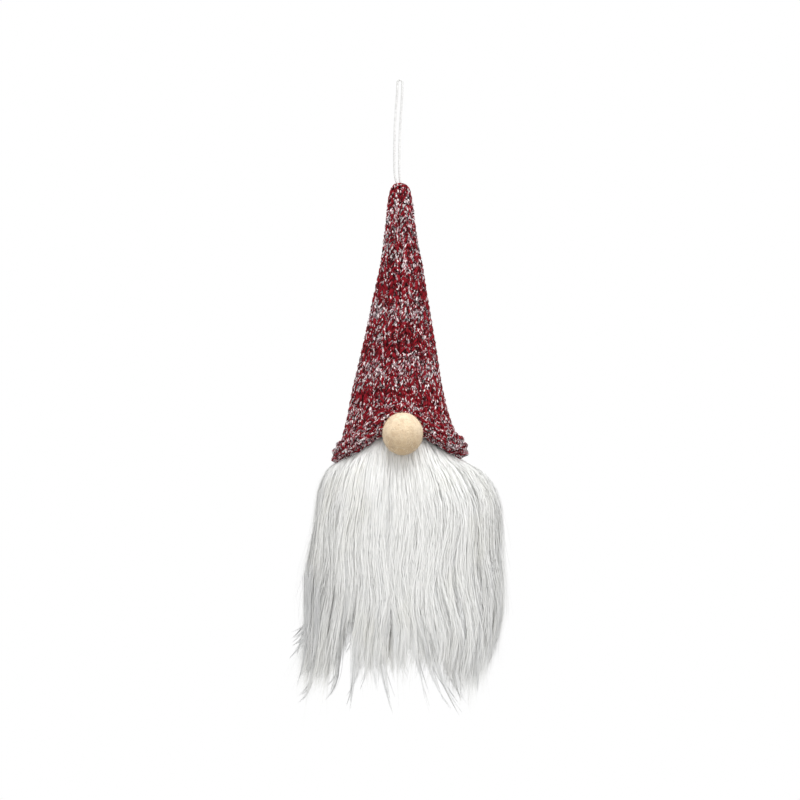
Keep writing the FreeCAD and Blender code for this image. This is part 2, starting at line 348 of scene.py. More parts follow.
# Knot. Both ends of the twine are tied together in one round knot that the hat's tip hangs on.
# Two short ends are left below it, in the hat's filling.
knot_low, knot_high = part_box("cord_knot")
knot_middle = Vector((0, 0, (knot_low.z + knot_high.z) / 2))
knot_radius = (knot_high.x - knot_low.x) / 2
knot_fullness = 0.9
knot_size = (knot_fullness * knot_radius - twine_diameter / 2) / 3
turns = numpy.linspace(0, 2 * math.pi, 72, endpoint=False)
knot_line = numpy.stack(
    (
        knot_size * (numpy.sin(turns) + 2 * numpy.sin(2 * turns)),
        knot_size * (numpy.cos(turns) - 2 * numpy.cos(2 * turns)),
        -2 * knot_size * numpy.sin(3 * turns),
    ),
    axis=1,
) + numpy.array(knot_middle)
knot_mesh = tubes("twine_knot", twisted(knot_line, 3, twine_reach, twine_pitch), twine_strand, closed=True)
new_piece("twine_knot", knot_mesh, twine, "knot", "cord", "cord_knot")

tails_low, tails_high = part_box("cord_tails")
tail_lines = []
for side in (-1, 1):
    tail_route = smooth_route(
        [
            (side * 0.65 * millimetre, 0, tails_high.z),
            (side * 0.8 * millimetre, side * 0.2 * millimetre, (tails_low.z + tails_high.z) / 2),
            (side * 1.1 * millimetre, 0, tails_low.z),
        ],
        12,
    )
    tail_lines += twisted(evenly(tail_route, twine_spacing), 3, twine_reach, twine_pitch)
new_piece("twine_tails", tubes("twine_tails", tail_lines, twine_strand), twine, "gnome", "cord", "cord_tails")


# Knitted hat. Stockinette of a thick marled acrylic yarn, knitted flat and sewn up the back into a tall cone.
# Every course is one yarn that loops through the course below; it has six plies, each dyed its own way.
hat_low, hat_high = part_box("knit_hat")
brim_low = hat_low.z
wale_width = 6.0 * millimetre
course_height = 3.7 * millimetre
loop_half_height = 3.75 * millimetre
loop_swing = 1.35 * millimetre
loop_depth = 0.95 * millimetre
ply_radius = 0.45 * millimetre
ply_reach = 0.76 * millimetre
ply_pitch = 27.0 * millimetre
points_per_stitch = 15
arch_rise = 18.0 * millimetre
arch_starts = 60.0 * millimetre
arch_rounding = 0.03
arch_edge = 1.015
arch_full = 0.842
brim_tilt = 1.5 * millimetre
seam_gap = 0.2 * millimetre
seam_turn_starts = 3.0
seam_turn_depth = 0.22
tip_easing = 8 * millimetre
cloth_profile = [
    # from the axis, above the brim's lowest place: the drawn-up tip, the cone, the flare and the rolled edge
    (1.3, 137.0),
    (2.7, 136.3),
    (3.9, 133.8),
    (4.5, 129.5),
    (5.3, 124.0),
    (6.4, 112.0),
    (7.9, 101.0),
    (12.5, 77.0),
    (17.0, 53.0),
    (21.8, 29.0),
    (24.5, 17.0),
    (26.3, 12.6),
    (27.0, 9.0),
    (27.3, 5.4),
    (28.0, 1.0),
    (30.2, -0.9),
    (32.2, -0.2),
    (32.8, 2.4),
    (31.9, 5.2),
    (30.4, 7.8),
    (28.9, 9.4),
    (28.0, 8.6),
]
cloth_profile = [(out * millimetre, 0, brim_low + up * millimetre) for out, up in cloth_profile]
profile_path = evenly(smooth_route(cloth_profile, 40), 0.25 * millimetre)
profile_along = lengths_along(profile_path)
profile_way = unit(numpy.gradient(profile_path, axis=0))
edge_depth = profile_along[numpy.argmin(profile_path[:, 2])]
slouch_down = numpy.array([0, 30, 42, 58, 82, 105, 122, 138]) * millimetre
slouch_left = numpy.array([0, -0.3, -0.7, -0.2, 0.3, 1.4, 1.0, 0]) * millimetre


def cloth_radius(down):
    """How far the cloth's middle is from the axis, at that distance along it from the tip. The roll counts as
    the brim's edge."""
    return numpy.interp(numpy.minimum(down, edge_depth), profile_along, profile_path[:, 0])


def brim_lift(turn):
    """The share of the arch's rise at that turn round the hat; the front is at 0."""
    aside = numpy.sqrt(numpy.sin(turn) ** 2 + arch_rounding)
    return numpy.where(numpy.cos(turn) > 0, numpy.clip(arch_edge - aside, 0, None) / arch_full, 0)


def cloth_to_space(turn, down, inward):
    """Where a place of the cloth goes on the hat. turn is measured round from the middle of the front, down
    along the cloth from the tip, and inward from the cloth's middle towards the filling."""
    out = numpy.interp(down, profile_along, profile_path[:, 0])
    up = numpy.interp(down, profile_along, profile_path[:, 2])
    out = out + inward * numpy.interp(down, profile_along, profile_way[:, 2])
    up = up - inward * numpy.interp(down, profile_along, profile_way[:, 0])
    share = numpy.clip((down - arch_starts) / (edge_depth - arch_starts), 0, 1) ** 1.6
    up = up + share * (arch_rise * brim_lift(turn) + brim_tilt * numpy.sin(turn))
    slouch = numpy.interp(down, slouch_down, slouch_left)
    return numpy.stack((out * numpy.sin(turn) - slouch, -out * numpy.cos(turn), up), axis=-1)


def course_line(down):
    """The middle line of one course's yarn: a row of loops that leans through the courses above and below,
    and turns inwards at both its ends, where the seam takes it up."""
    radius = cloth_radius(down)
    half_turns = 2 * math.pi * math.pi * radius / wale_width
    count = max(12, round(half_turns / math.pi * points_per_stitch))
    phase = numpy.linspace(-half_turns, half_turns, count)
    across = wale_width * phase / (2 * math.pi) + loop_swing * numpy.sin(2 * phase)
    across = numpy.sign(across) * numpy.minimum(numpy.abs(across), math.pi * radius - seam_gap)
    to_seam = (math.pi * radius - numpy.abs(across)) / millimetre
    turned_in = seam_turn_depth * numpy.maximum(seam_turn_starts - to_seam, 0) ** 2 * millimetre
    inward = loop_depth * min(1, radius / tip_easing) * numpy.cos(2 * phase) + turned_in
    inward = numpy.minimum(inward, 0.4 * radius)
    down = numpy.clip(down - loop_half_height * numpy.cos(phase), 0.1 * millimetre, profile_along[-1])
    return cloth_to_space(across / radius, down, inward)


first_course = 4.4 * millimetre
course_count = int((profile_along[-1] - first_course) / course_height) + 1
course_lines = [course_line(first_course + course * course_height) for course in range(course_count)]

ply_lines = [[], [], [], [], [], []]
for number, line in enumerate(course_lines):
    outward = line * (1, 1, 0)
    outward /= numpy.linalg.norm(outward, axis=1)[:, None] + 1e-9
    plies = twisted(line, 6, ply_reach, ply_pitch, outward, first_turn=1.7 * number)
    for ply, strand in enumerate(plies):
        ply_lines[ply].append(strand)

# The near black red is partly the yarn's own dark red and partly painted shade: it is darker than the dye,
# for the shadow between the plies and stitches.
crimson = (0.3, 0.005, 0.015, 1)
deep_red_and_painted_shade = (0.03, 0.001, 0.002, 1)
mauve = (0.4, 0.13, 0.17, 1)
pale_grey = (0.36, 0.33, 0.34, 1)
off_white = (1.0, 0.92, 0.92, 1)
charcoal = (0.01, 0.01, 0.011, 1)
marl_top = 140.0
marl_heights = [
    # above the brim, and how much of the yarn isn't red there
    (3, 0.5),
    (8, 0.5),
    (14, 0.42),
    (21, 0.34),
    (28, 0.26),
    (33, 0.16),
    (37, 0.36),
    (43, 0.6),
    (49, 0.36),
    (54, 0.16),
    (59, 0.28),
    (66, 0.34),
    (73, 0.64),
    (78, 0.36),
    (84, 0.1),
    (91, 0.34),
    (101, 0.46),
    (111, 0.42),
    (118, 0.48),
    (124, 0.56),
    (130, 0.36),
    (135, 0.3),
]


def yarn_finish(name, marl_share, shift):
    """Acrylic yarn dyed in stretches: red, with mauve, grey, charcoal and white that come and go along it.
    Its red runs down to a near black red, partly the dye and partly painted shade for the shadow between the
    plies.

    marl_share is how much more or less of this ply isn't red; shift moves its pattern, so all differ."""
    finish, place, surface = new_finish(name, roughness=0.7, specular=0.18)
    height = place.node("ShaderNodeSeparateXYZ", {}, {0: place}, output=2) - brim_low
    height = height / (marl_top * millimetre)
    stops = [(above / marl_top, (share, share, share, 1)) for above, share in marl_heights]
    zone = place.node("ShaderNodeValToRGB", {"stops": stops}, {"Fac": height})
    yarn = place.node("ShaderNodeAttribute", {"attribute_name": "along"}, {}, output=1)
    yarn = yarn.node("ShaderNodeVectorMath", {"operation": "ADD"}, {0: yarn, 1: (0, 0, shift)})
    patch = place.noise(9 * millimetre, detail=1)
    speck = place.stretched(0.6, 0.6, 2.0).noise(0.8 * millimetre, detail=1) - 0.5
    amount = yarn.noise(3.0 * millimetre, detail=1) + (zone - 0.4) * 0.35
    amount = amount + (patch - 0.5) * 0.25 + speck * 0.35
    picked = amount.between(0.515 - marl_share, 0.54 - marl_share)
    # Along the yarn the red goes from crimson to a near black red, partly dark dye and partly painted shade.
    red = yarn.noise(2.6 * millimetre, detail=2).between(0.36, 0.62).blend(deep_red_and_painted_shade, crimson)
    kind = yarn.stretched(1, 1, 0.5).noise(1.9 * millimetre, detail=0) * 0.5 + speck * 0.95 + 0.25
    marl = yarn.noise(5 * millimetre, detail=0).between(0.4, 0.6).blend(mauve, pale_grey)
    marl = kind.between(0.575, 0.6).blend(marl, off_white)
    marl = kind.between(0.435, 0.455).blend(charcoal, marl)
    feed(surface, "Base Color", picked.blend(red, marl))
    add_bump(surface, place.noise(0.16 * millimetre, detail=2), 0.12 * millimetre)
    return finish


ply_marls = {
    "crimson_ply": -0.08,
    "marl_ply": 0.06,
    "second_crimson_ply": -0.06,
    "flecked_ply": 0.03,
    "mauve_ply": 0.02,
    "third_crimson_ply": -0.07,
}
for number, (name, marl_share) in enumerate(ply_marls.items()):
    ply_mesh = tubes("hat_" + name, ply_lines[number], ply_radius, sides=4)
    finish = yarn_finish(name, marl_share, 0.1 * number)
    piece = new_piece("hat_" + name, ply_mesh, finish, "gnome", "knit_yarn")
    if number == 0:
        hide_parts("knit_hat")


def ribbons(name, middle, side, facing):
    """One mesh of flat fibres. middle holds each fibre's points from root to tip, side half its width there,
    and facing the way the cloth or pile as a whole faces there, which the fibre is lit by."""
    left = middle - side
    right = middle + side
    shape = bmesh.new()
    tag = shape.verts.layers.int.new("end")
    level = shape.verts.layers.int.new("level")
    for number, (left_root, right_root) in enumerate(zip(left[:, 0], right[:, 0])):
        first = shape.verts.new(left_root)
        second = shape.verts.new(right_root)
        first[tag] = 2 * number
        second[tag] = 2 * number + 1
        shape.edges.new((first, second))
    edges = list(shape.edges)
    for step in range(1, middle.shape[1]):
        ends = numpy.stack((left[:, step], right[:, step]), axis=1).reshape(-1, 3).tolist()
        grown = bmesh.ops.extrude_edge_only(shape, edges=edges)["geom"]
        fresh = [item for item in grown if isinstance(item, bmesh.types.BMVert)]
        for vertex in fresh:
            vertex.co = ends[vertex[tag]]
            vertex[level] = step
        fresh = set(fresh)
        edges = [
            item for item in grown
            if isinstance(item, bmesh.types.BMEdge) and item.verts[0] in fresh and item.verts[1] in fresh
        ]
    mesh = bpy.data.meshes.new(name)
    shape.to_mesh(mesh)
    shape.free()
    place = numpy.zeros((2, len(mesh.vertices)), dtype=numpy.int32)
    for row, layer in enumerate(("end", "level")):
        mesh.attributes[layer].data.foreach_get("value", place[row])
        mesh.attributes.remove(mesh.attributes[layer])
    mesh.shade_smooth()
    mesh.normals_split_custom_set_from_vertices(facing[place[0] // 2, place[1]])
    return mesh


nap_points = 4


def nap_fibres(seed, root, away, shortest, longest, width):
    """The middles, half widths and facings of short loose fibres that lean every way from their roots."""
    rng = numpy.random.default_rng(seed)
    lie = unit(numpy.cross(away, rng.normal(0, 1, root.shape)))
    length = rng.uniform(shortest, longest, len(root))[:, None, None]
    share = numpy.linspace(0, 1, nap_points)[None, :, None]
    rise = away[:, None] * (0.75 * share - 0.25 * share**2)
    middle = root[:, None] + length * (rise + lie[:, None] * share)
    side = numpy.cross(away, lie)[:, None] * width / 2 * (1.05 - share)
    return middle, side, numpy.repeat(away[:, None], nap_points, axis=1)


fuzz_count = 5000
fuzz_rng = numpy.random.default_rng(3)
yarn_places = numpy.concatenate(course_lines[1:])
fuzz_root = yarn_places[fuzz_rng.integers(0, len(yarn_places), fuzz_count)]
fuzz_away = unit(fuzz_root * (1, 1, 0))
fuzz_away = unit(fuzz_away + fuzz_rng.normal(0, 0.25, fuzz_away.shape))
fuzz_root = fuzz_root + fuzz_away * millimetre
fuzz = nap_fibres(4, fuzz_root, fuzz_away, 0.7 * millimetre, 2.0 * millimetre, 0.07 * millimetre)
loose_fibre, place, surface = new_finish("loose_yarn_fibre", roughness=0.8, specular=0.2)
loose_shade = place.noise(1.5 * millimetre, detail=1).between(0.46, 0.62)
feed(surface, "Base Color", loose_shade.blend((0.26, 0.02, 0.035, 1), (0.5, 0.26, 0.29, 1)))
new_piece("hat_fuzz", ribbons("hat_fuzz", *fuzz), loose_fibre, "gnome", "knit_yarn")


# Beard. Faux fur with a pile about 110 mm long all round a pouch, its upper edge glued under the hat's brim.
# The fibres gather in wavy locks that hang apart at their ends, longest in front, with wisps below them.
pile_drop = numpy.array([-17.0, 0.0, 6.0, 15.0, 23.0, 36.0, 54.0, 80.0, 104.0, 130.0]) * millimetre
pile_right = numpy.array([27.5, 33.5, 41.5, 47.0, 50.0, 51.0, 51.0, 52.0, 51.0, 50.0]) * millimetre
pile_left = numpy.array([27.5, 33.5, 37.0, 40.0, 41.5, 43.5, 45.5, 47.0, 48.0, 49.0]) * millimetre
pile_deep = numpy.array([27.5, 32.5, 35.0, 37.0, 38.0, 38.5, 38.5, 38.0, 37.0, 36.0]) * millimetre
pouch_drop = numpy.array([-25.5, -21.0, -12.0, 4.0, 24.0, 33.0, 36.0]) * millimetre
pouch_side = numpy.array([14.0, 22.2, 24.7, 29.0, 23.8, 13.0, 4.0]) * millimetre
end_line = [
    # across the gnome, below the brim: where the mass of the pile ends, with its gaps
    (-54, 82),
    (-46, 96),
    (-43, 106),
    (-37, 112),
    (-32, 110),
    (-29, 100),
    (-27, 82),
    (-24, 79),
    (-21, 101),
    (-14, 109),
    (-9, 112),
    (-2, 107),
    (1, 97),
    (4, 95),
    (8, 98),
    (16, 104),
    (21, 115),
    (28, 121),
    (35, 115),
    (44, 105),
    (50, 94),
    (54, 82),
]
sweep_line = [(-52, -7), (-36, -5), (-22, -2), (0, 1), (18, 3), (34, 0), (50, -5)]
end_line_deep = [
    # the same from the side: behind the gnome's middle, and below the brim
    (-40, 94),
    (-30, 104),
    (-16, 118),
    (-2, 118),
    (8, 112),
    (17, 104),
    (23, 92),
    (30, 102),
    (40, 90),
]
strands_in_tuft = 5
fibre_points = 10
fibre_width = 0.26 * millimetre
glued_arch = 0.9 * arch_rise


def hang_fibres(seed, count, locks, tufts, roots, inset, clump, wave, shortest, stray):
    """The points, half widths and facings of many fibres that start on the pouch and hang in locks, each of a
    few tufts, and each tuft of strands.

    roots is how far below the brim's edge they start, from and to, and inset how far under the outside of the
    pile they hang. clump is how far each strand has drawn together at its end, shortest the length of the
    shortest fibre as a share of its tuft's, and stray how far a lone fibre's end is from its strand's."""
    rng = numpy.random.default_rng(seed)
    lock_angle = 2 * math.pi / locks
    tuft_count = locks * tufts
    strand_count = strands_in_tuft * tuft_count
    strand = rng.integers(0, strand_count, count)
    tuft = strand // strands_in_tuft
    tuft_lock = numpy.arange(tuft_count) // tufts
    lock = tuft_lock[tuft]
    lock_rng = numpy.random.default_rng(locks)
    lock_turn = (numpy.arange(locks) + lock_rng.uniform(-0.13, 0.13, locks)) * lock_angle
    lock_bend = numpy.cumsum(lock_rng.normal(0, 0.6, locks))
    lock_wave = wave * (1 + 0.4 * numpy.sin(3 * lock_turn)) * (1 - 0.4 * numpy.sin(lock_turn))
    lock_span = (58 + 7 * numpy.sin(2 * lock_turn + 1)) * millimetre
    lock_slant = lock_rng.normal(0, 0.018, locks)
    lock_extra = lock_rng.normal(0, 2.0 * millimetre, locks)
    tuft_place = (numpy.arange(tuft_count) % tufts + 0.5) / tufts - 0.5
    tuft_place = tuft_place + rng.uniform(-0.5, 0.5, tuft_count) / tufts
    tuft_turn = lock_turn[tuft_lock] + tuft_place * lock_angle * 1.1
    tuft_inset = rng.uniform(*inset, tuft_count)
    tuft_root = rng.uniform(*roots, tuft_count)
    tuft_extra = rng.normal(0, 2.5 * millimetre, tuft_count)
    tuft_wisp = numpy.where(rng.random(tuft_count) < 0.14, rng.uniform(5, 15, tuft_count), 0) * millimetre
    tuft_bend = rng.uniform(0, 2 * math.pi, tuft_count)
    tuft_span = rng.uniform(24, 44, tuft_count) * millimetre
    tuft_slant = rng.normal(0, 0.02, tuft_count)
    tuft_sweep = rng.normal(0, 1.5 * millimetre, tuft_count)
    strand_place = rng.uniform(-0.8, 0.8, strand_count) * lock_angle / tufts
    strand_extra = rng.normal(0, 4.0 * millimetre, strand_count)
    strand_sweep = rng.normal(0, 1.2 * millimetre, (2, strand_count))
    fibre_bend = rng.uniform(0, 2 * math.pi, (count, 1))
    fibre_span = rng.uniform(25, 60, (count, 1)) * millimetre

    spread = rng.uniform(-1, 1, count) * lock_angle / tufts
    start_turn = tuft_turn[tuft] + strand_place[strand] + spread
    root = tuft_root[tuft] + rng.uniform(-2.0, 2.0, count) * millimetre
    root = root - glued_arch * brim_lift(start_turn)
    slant = lock_slant[lock] + tuft_slant[tuft]
    end_level = 100 * millimetre
    end_turn = tuft_turn[tuft] + slant
    end_wide = numpy.where(
        end_turn % (2 * math.pi) < math.pi,
        numpy.interp(end_level, pile_drop, pile_right),
        numpy.interp(end_level, pile_drop, pile_left),
    )
    end_x = (end_wide - tuft_inset[tuft]) * numpy.sin(end_turn) / millimetre
    end_deep = numpy.interp(end_level, pile_drop, pile_deep)
    end_y = -(end_deep - tuft_inset[tuft]) * numpy.cos(end_turn) / millimetre
    end = numpy.minimum(numpy.interp(end_x, *zip(*end_line)), numpy.interp(end_y, *zip(*end_line_deep)))
    end = end * millimetre + lock_extra[lock] + tuft_extra[tuft] + strand_extra[strand]
    end += numpy.where(rng.random(count) < 0.3, tuft_wisp[tuft], 0)
    end -= 0.35 * tuft_inset[tuft]
    end = root + (end - root) * (1 - (1 - shortest) * rng.random(count) ** 1.5)

    share = numpy.linspace(0, 1, fibre_points)[None, :] ** 1.2
    drop = root[:, None] + (end - root)[:, None] * share
    fallen = drop - root[:, None]
    out = numpy.clip(fallen / (9 * millimetre), 0, 1)
    out = numpy.sqrt(out * (2 - out))
    low = numpy.clip((drop - 20 * millimetre) / (85 * millimetre), 0, 1)
    drawn = clump * low
    tuft_off = (tuft_turn[tuft] - lock_turn[lock])[:, None] * (1 - 0.2 * low**1.5)
    strand_off = strand_place[strand][:, None] * (1 - 0.5 * low)
    fibre_off = spread[:, None] * (1 - drawn)
    angle = lock_turn[lock][:, None] + tuft_off + strand_off + fibre_off + slant[:, None] * share
    across = numpy.sin(angle)
    facing = -numpy.cos(angle)
    half_wide = numpy.where(
        across > 0,
        numpy.interp(drop, pile_drop, pile_right),
        numpy.interp(drop, pile_drop, pile_left),
    )
    half_deep = numpy.interp(drop, pile_drop, pile_deep)
    pouch = numpy.interp(root, pouch_drop, pouch_side)[:, None]
    under = tuft_inset[tuft][:, None] + rng.normal(0, 0.6 * millimetre, count)[:, None] * (1 - 0.7 * drawn)
    x = across * (pouch * (1 - out) + (half_wide - under) * out)
    y = facing * (pouch * (1 - out) + (half_deep - under) * out)
    swung = numpy.clip((drop - 4 * millimetre) / (45 * millimetre), 0, 1)
    sideways = lock_wave[lock][:, None] * numpy.sin(
        2 * math.pi * drop / lock_span[lock][:, None] + lock_bend[lock][:, None]
    )
    sideways = sideways + 0.3 * wave * numpy.sin(
        2 * math.pi * drop / tuft_span[tuft][:, None] + tuft_bend[tuft][:, None]
    )
    sideways = sideways * swung
    sideways += 0.5 * millimetre * numpy.sin(2 * math.pi * fallen / fibre_span + fibre_bend) * out
    outwards = 0.5 * sideways * numpy.cos(lock_bend[lock])[:, None]
    x += sideways * -facing + outwards * across
    y += sideways * across + outwards * facing
    swept = numpy.clip((drop - 72 * millimetre) / (38 * millimetre), 0, 1.2) ** 1.5
    sweep = numpy.interp(end_x, *zip(*sweep_line)) * millimetre + tuft_sweep[tuft] + strand_sweep[0, strand]
    lone = rng.normal(0, stray, (2, count, 1)) * share**2
    x += sweep[:, None] * swept + lone[0]
    y += strand_sweep[1, strand][:, None] * swept + lone[1]
    middle = numpy.stack((x, y, brim_low - drop), axis=-1)

    side_turn = angle[:, 0] + rng.uniform(-0.15, 0.15, count)
    side = numpy.stack((numpy.cos(side_turn), numpy.sin(side_turn), numpy.zeros(count)), axis=-1)
    taper = numpy.interp(share[0], [0, 0.1, 0.8, 1], [0.7, 1, 0.85, 0.15])
    width = fibre_width * rng.uniform(0.7, 1.3, count)
    beside = numpy.stack((-facing, across, numpy.zeros_like(across)), axis=-1)
    outward = numpy.cross(unit(numpy.gradient(middle, axis=1)), beside)
    rounding = 0.5 * (tuft_off + strand_off) / lock_angle * (0.3 + low)
    rounding = rounding + 0.35 * fibre_off * tufts / lock_angle
    outward = unit(outward + rounding[..., None] * beside)
    return middle, side[:, None, :] * width[:, None, None] * taper[None, :, None] / 2, outward


def fur_finish(name, light, dark):
    """White pile whose fibres aren't all one white: their shade changes from fibre to fibre, and slowly down
    each one."""
    finish, place, surface = new_finish(name, roughness=0.45, specular=0.3)
    fibre_shade = place.stretched(1, 1, 14).noise(1.1 * millimetre, detail=2).between(0.4, 0.64)
    yellowed = place.stretched(1, 1, 2).noise(16 * millimetre, detail=1).between(0.52, 0.7) * 0.3
    white = yellowed.blend((*light, 1), (0.93, 0.92, 0.84, 1))
    feed(surface, "Base Color", fibre_shade.blend(white, (*dark, 1)))
    feed(surface, "Roughness", fibre_shade * 0.2 + 0.38)
    return finish


fur_shades = {
    "bright": fur_finish("bright_pile", (0.97, 0.97, 0.955), (0.88, 0.88, 0.86)),
    "cool": fur_finish("cool_pile", (0.95, 0.955, 0.95), (0.86, 0.865, 0.86)),
    "warm": fur_finish("warm_pile", (0.96, 0.955, 0.93), (0.87, 0.865, 0.83)),
}
fur_layers = [
    # name, shade, fibres, locks, tufts, roots, inset, clump, wave, shortest fibre and stray
    ("outer_locks_a", "bright", 10800, 26, 9, (0.5, 3.0), (0.0, 2.0), 0.9, 1.9, 0.74, 0.3),
    ("outer_locks_b", "cool", 10800, 26, 8, (1.0, 4.0), (0.5, 3.0), 0.9, 1.9, 0.72, 0.3),
    ("outer_locks_c", "bright", 10800, 26, 8, (1.0, 6.0), (1.5, 5.0), 0.9, 1.9, 0.72, 0.3),
    ("middle_locks", "warm", 10800, 37, 6, (3.0, 10.0), (3.0, 8.0), 0.8, 1.8, 0.68, 0.4),
    ("inner_locks", "cool", 8500, 20, 6, (14.0, 26.0), (9.0, 20.0), 0.92, 2.0, 0.68, 0.4),
    ("core_locks", "warm", 5000, 10, 6, (26.0, 33.0), (18.0, 33.0), 0.9, 2.0, 0.65, 0.4),
    ("crossing_fibres", "bright", 4500, 26, 9, (0.5, 4.0), (-0.5, 1.0), 0.3, 2.4, 0.2, 2.5),
    ("flyaways", "bright", 500, 90, 2, (0.5, 8.0), (-1.0, 4.0), 0.0, 2.5, 0.7, 2.0),
]
for number, layer in enumerate(fur_layers):
    name, shade, count, locks, tufts, roots, inset, clump, wave, shortest, stray = layer
    middle, side, facing = hang_fibres(
        number,
        count,
        locks,
        tufts,
        [value * millimetre for value in roots],
        [value * millimetre for value in inset],
        clump,
        wave * millimetre,
        shortest,
        stray * millimetre,
    )
    fibres = ribbons(name, middle, side, facing)
    piece = new_piece("beard_" + name, fibres, fur_shades[shade], "gnome", "fur_pile")
    if name == "outer_locks_a":
        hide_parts("beard_pile")


wisps = [
    # across and below the brim at three places: where it leaves the pile, near its end, and its tip
    ((-44, 78), (-49.5, 88), (-53.5, 91)),
    ((-45, 84), (-50, 94), (-55, 99)),
    ((-45, 86), (-47.5, 101), (-51, 113)),
    ((-42, 88), (-43, 117), (-51, 121)),
    ((-40, 86), (-44, 104), (-50, 107)),
    ((-31, 88), (-31, 113), (-37, 119)),
    ((-20, 80), (-23, 116), (-25, 124)),
    ((-27, 76), (-24, 88), (-27.5, 95)),
    ((-22, 74), (-25, 84), (-22, 92)),
    ((-10, 84), (-7, 108), (-3.5, 126)),
    ((-14, 86), (-16, 104), (-20, 111)),
    ((3, 74), (9, 102), (14.5, 125)),
    ((0, 78), (-1, 98), (4, 108)),
    ((11, 90), (17, 112), (25, 123)),
    ((16, 92), (23, 115), (31, 125)),
    ((24, 90), (29, 114), (33, 121)),
    ((38, 84), (39, 104), (38, 116)),
    ((44, 78), (45, 94), (41, 104)),
    ((48, 70), (50, 84), (46, 94)),
]
wisp_depths = (-0.9, -0.5, 0.4, 0.9)
wisp_fibre_count = 12
wisp_points = 10
wisp_rise = 26
pile_half_width = 56
pile_half_depth = 36
wisp_rng = numpy.random.default_rng(12)
wisp_lines = []
for leaves, bends, ends in wisps:
    for depth in wisp_depths:
        moved = wisp_rng.normal(0, 1.5, 3) * (depth > wisp_depths[0])
        shallow = math.sqrt(max(0.02, 1 - (leaves[0] / pile_half_width) ** 2))
        behind = pile_half_depth * shallow * depth
        route = [
            (leaves[0] + moved[0], behind, -leaves[1] + wisp_rise),
            (leaves[0] + moved[0], behind, -leaves[1]),
            (bends[0] + moved[1], behind, -bends[1] + moved[0]),
            (ends[0] + moved[2], behind, -ends[1] + 2 * moved[0]),
        ]
        route = [(x * millimetre, y * millimetre, brim_low + z * millimetre) for x, y, z in route]
        route = smooth_route(route, 6)
        places = numpy.linspace(0, len(route) - 1, wisp_points)
        route = numpy.stack([numpy.interp(places, range(len(route)), row) for row in route.T])
        for fibre in range(wisp_fibre_count):
            narrowing = numpy.linspace(1, 0.1, wisp_points) ** 1.5
            apart = wisp_rng.normal(0, 1.3 * millimetre, (3, 1)) * narrowing
            kept = wisp_rng.uniform(0.86, 1)
            steps = numpy.linspace(0, (wisp_points - 1) * kept, wisp_points)
            wisp_lines.append([numpy.interp(steps, range(wisp_points), row) for row in route + apart])
wisp_middle = numpy.array(wisp_lines).transpose(0, 2, 1)
wisp_side = numpy.zeros_like(wisp_middle)
wisp_side[..., 0] = 0.13 * millimetre * numpy.linspace(1, 0.25, wisp_points)
wisp_away = unit(wisp_middle * (1, 1, 0))
wisp_side *= numpy.where(wisp_away[..., 1:2] < 0, 1, -1)
wisp_fibres = ribbons("wisps", wisp_middle, wisp_side, wisp_away)
new_piece("beard_wisps", wisp_fibres, fur_shades["cool"], "gnome", "fur_pile")


# Nose. A ball of polystyrene in a cover of brushed cream fleece that is gathered and sewn behind it.
nose_low, nose_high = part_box("nose_cover")
nose_middle = (nose_low + nose_high) / 2
nose_middle.y = nose_low.y + 10 * millimetre
nose_middle.z += 0.5 * millimetre
fleece_radii = (9.8 * millimetre, 9.7 * millimetre, 10.3 * millimetre)
foam_radii = (8.7 * millimetre, 8.6 * millimetre, 9.2 * millimetre)
ball = bmesh.new()
bmesh.ops.create_icosphere(ball, subdivisions=6, radius=1)
for vertex in ball.verts:
    right, back, up = vertex.co
    dimple = 0.02 * math.sin(5 * right + 2) * math.sin(4 * up + 3 * back)
    crease = -0.05 * math.exp(-(((up + 0.72 + 0.05 * math.sin(3 * right)) / 0.05) ** 2))
    vertex.co *= 1 + dimple + crease
bmesh.ops.scale(ball, verts=ball.verts, vec=fleece_radii)
bmesh.ops.translate(ball, verts=ball.verts, vec=nose_middle)
nose_mesh = bpy.data.meshes.new("nose_fleece")
ball.to_mesh(nose_mesh)
ball.free()
fleece, place, surface = new_finish("cream_fleece", roughness=0.9, sheen=0.3, specular=0.1)
height = place.node("ShaderNodeSeparateXYZ", {}, {0: place}, output=2) - nose_low.z
height = height / (nose_high.z - nose_low.z)
# The cream is painted lighter at the top and darker towards the bottom: painted light and painted shade from
# the lamp above, not a change in the fleece.
cream = height.between(-0.1, 1.0).blend((0.6, 0.44, 0.25, 1), (0.93, 0.77, 0.56, 1))
mottled = place.noise(1.7 * millimetre, detail=4, roughness=0.65).between(0.4, 0.64) * 0.4
feed(surface, "Base Color", mottled.blend(cream, (0.5, 0.34, 0.2, 1)))
add_bump(surface, place.noise(0.7 * millimetre, detail=3), 0.7 * millimetre)
new_piece("nose_fleece", nose_mesh, fleece, "gnome", "nose_fleece", "nose_cover")

foam_ball = bmesh.new()
bmesh.ops.create_icosphere(foam_ball, subdivisions=4, radius=1)
bmesh.ops.scale(foam_ball, verts=foam_ball.verts, vec=foam_radii)
bmesh.ops.translate(foam_ball, verts=foam_ball.verts, vec=nose_middle)
foam_mesh = bpy.data.meshes.new("nose_ball")
foam_ball.to_mesh(foam_mesh)
foam_ball.free()
foam, place, surface = new_finish("white_foam", roughness=0.7)
beads = place.noise(1.5 * millimetre, detail=1)
feed(surface, "Base Color", beads.between(0.3, 0.7).blend((0.76, 0.76, 0.74, 1), (0.86, 0.86, 0.84, 1)))
add_bump(surface, beads, 0.2 * millimetre)
new_piece("nose_ball", foam_mesh, foam, "gnome", "nose_core", "nose_core")

